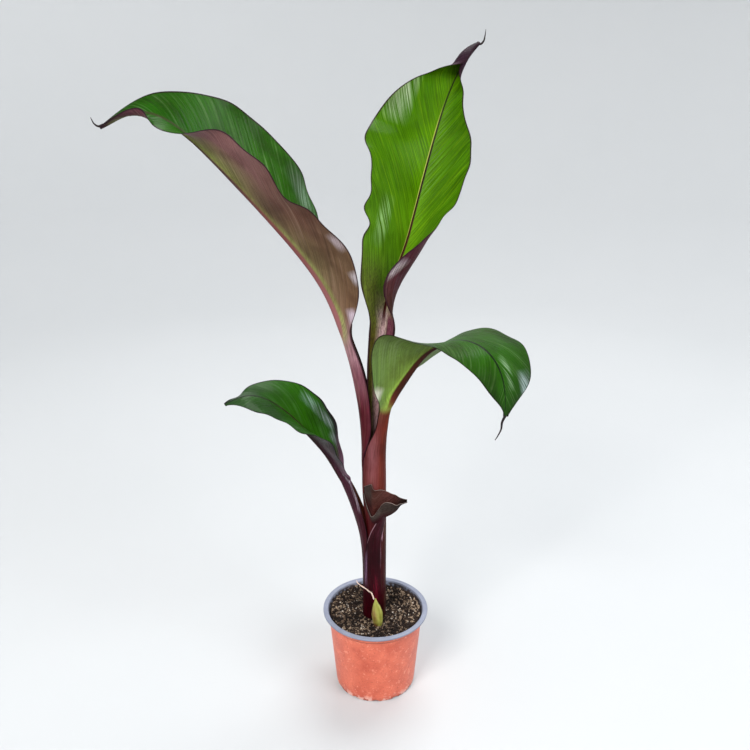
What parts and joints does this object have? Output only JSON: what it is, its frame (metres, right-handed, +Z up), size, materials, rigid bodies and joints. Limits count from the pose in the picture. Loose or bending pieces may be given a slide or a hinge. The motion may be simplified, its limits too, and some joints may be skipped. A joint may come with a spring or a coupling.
{
  "type": "potted banana plant",
  "caption": "Young banana plant in a round nursery pot: a sheathed stem with long channelled leaf stalks, broad folded leaf blades, a dried lowest leaf and an offshoot bud.",
  "frame": {"origin": "centre of the pot's flat underside", "axes": "+Z up along the stem, +X to the right and +Y away as seen from the front"},
  "size_m": [0.4017, 0.1994, 0.7063],
  "materials": {
    "pot_plastic": "satin",
    "soil": "matte",
    "stem": "satin",
    "stalk": "satin",
    "dark_sheath": "satin",
    "withered_leaf": "matte",
    "leaf_blade": "satin",
    "bud": "satin",
    "dry_root": "matte"
  },
  "bodies": {
    "root": {"pot": "pot_plastic", "soil": "soil", "pseudostem": "stem", "upright_leaf_stalk": "stalk", "right_leaf_stalk": "stalk", "upper_left_leaf_stalk": "stalk", "lower_left_leaf_sheath_and_stalk": "dark_sheath", "withered_leaf_sheath": "dark_sheath", "withered_leaf_blade": "withered_leaf", "upper_left_leaf_blade_rising_half": "leaf_blade", "upper_left_leaf_blade_tip_half": "leaf_blade", "upright_leaf_blade": "leaf_blade", "right_leaf_blade_rising_half": "leaf_blade", "right_leaf_blade_hanging_half": "leaf_blade", "lower_left_leaf_blade": "leaf_blade", "offshoot_bud": "bud", "dry_root": "dry_root"}
  },
  "joints": []
}
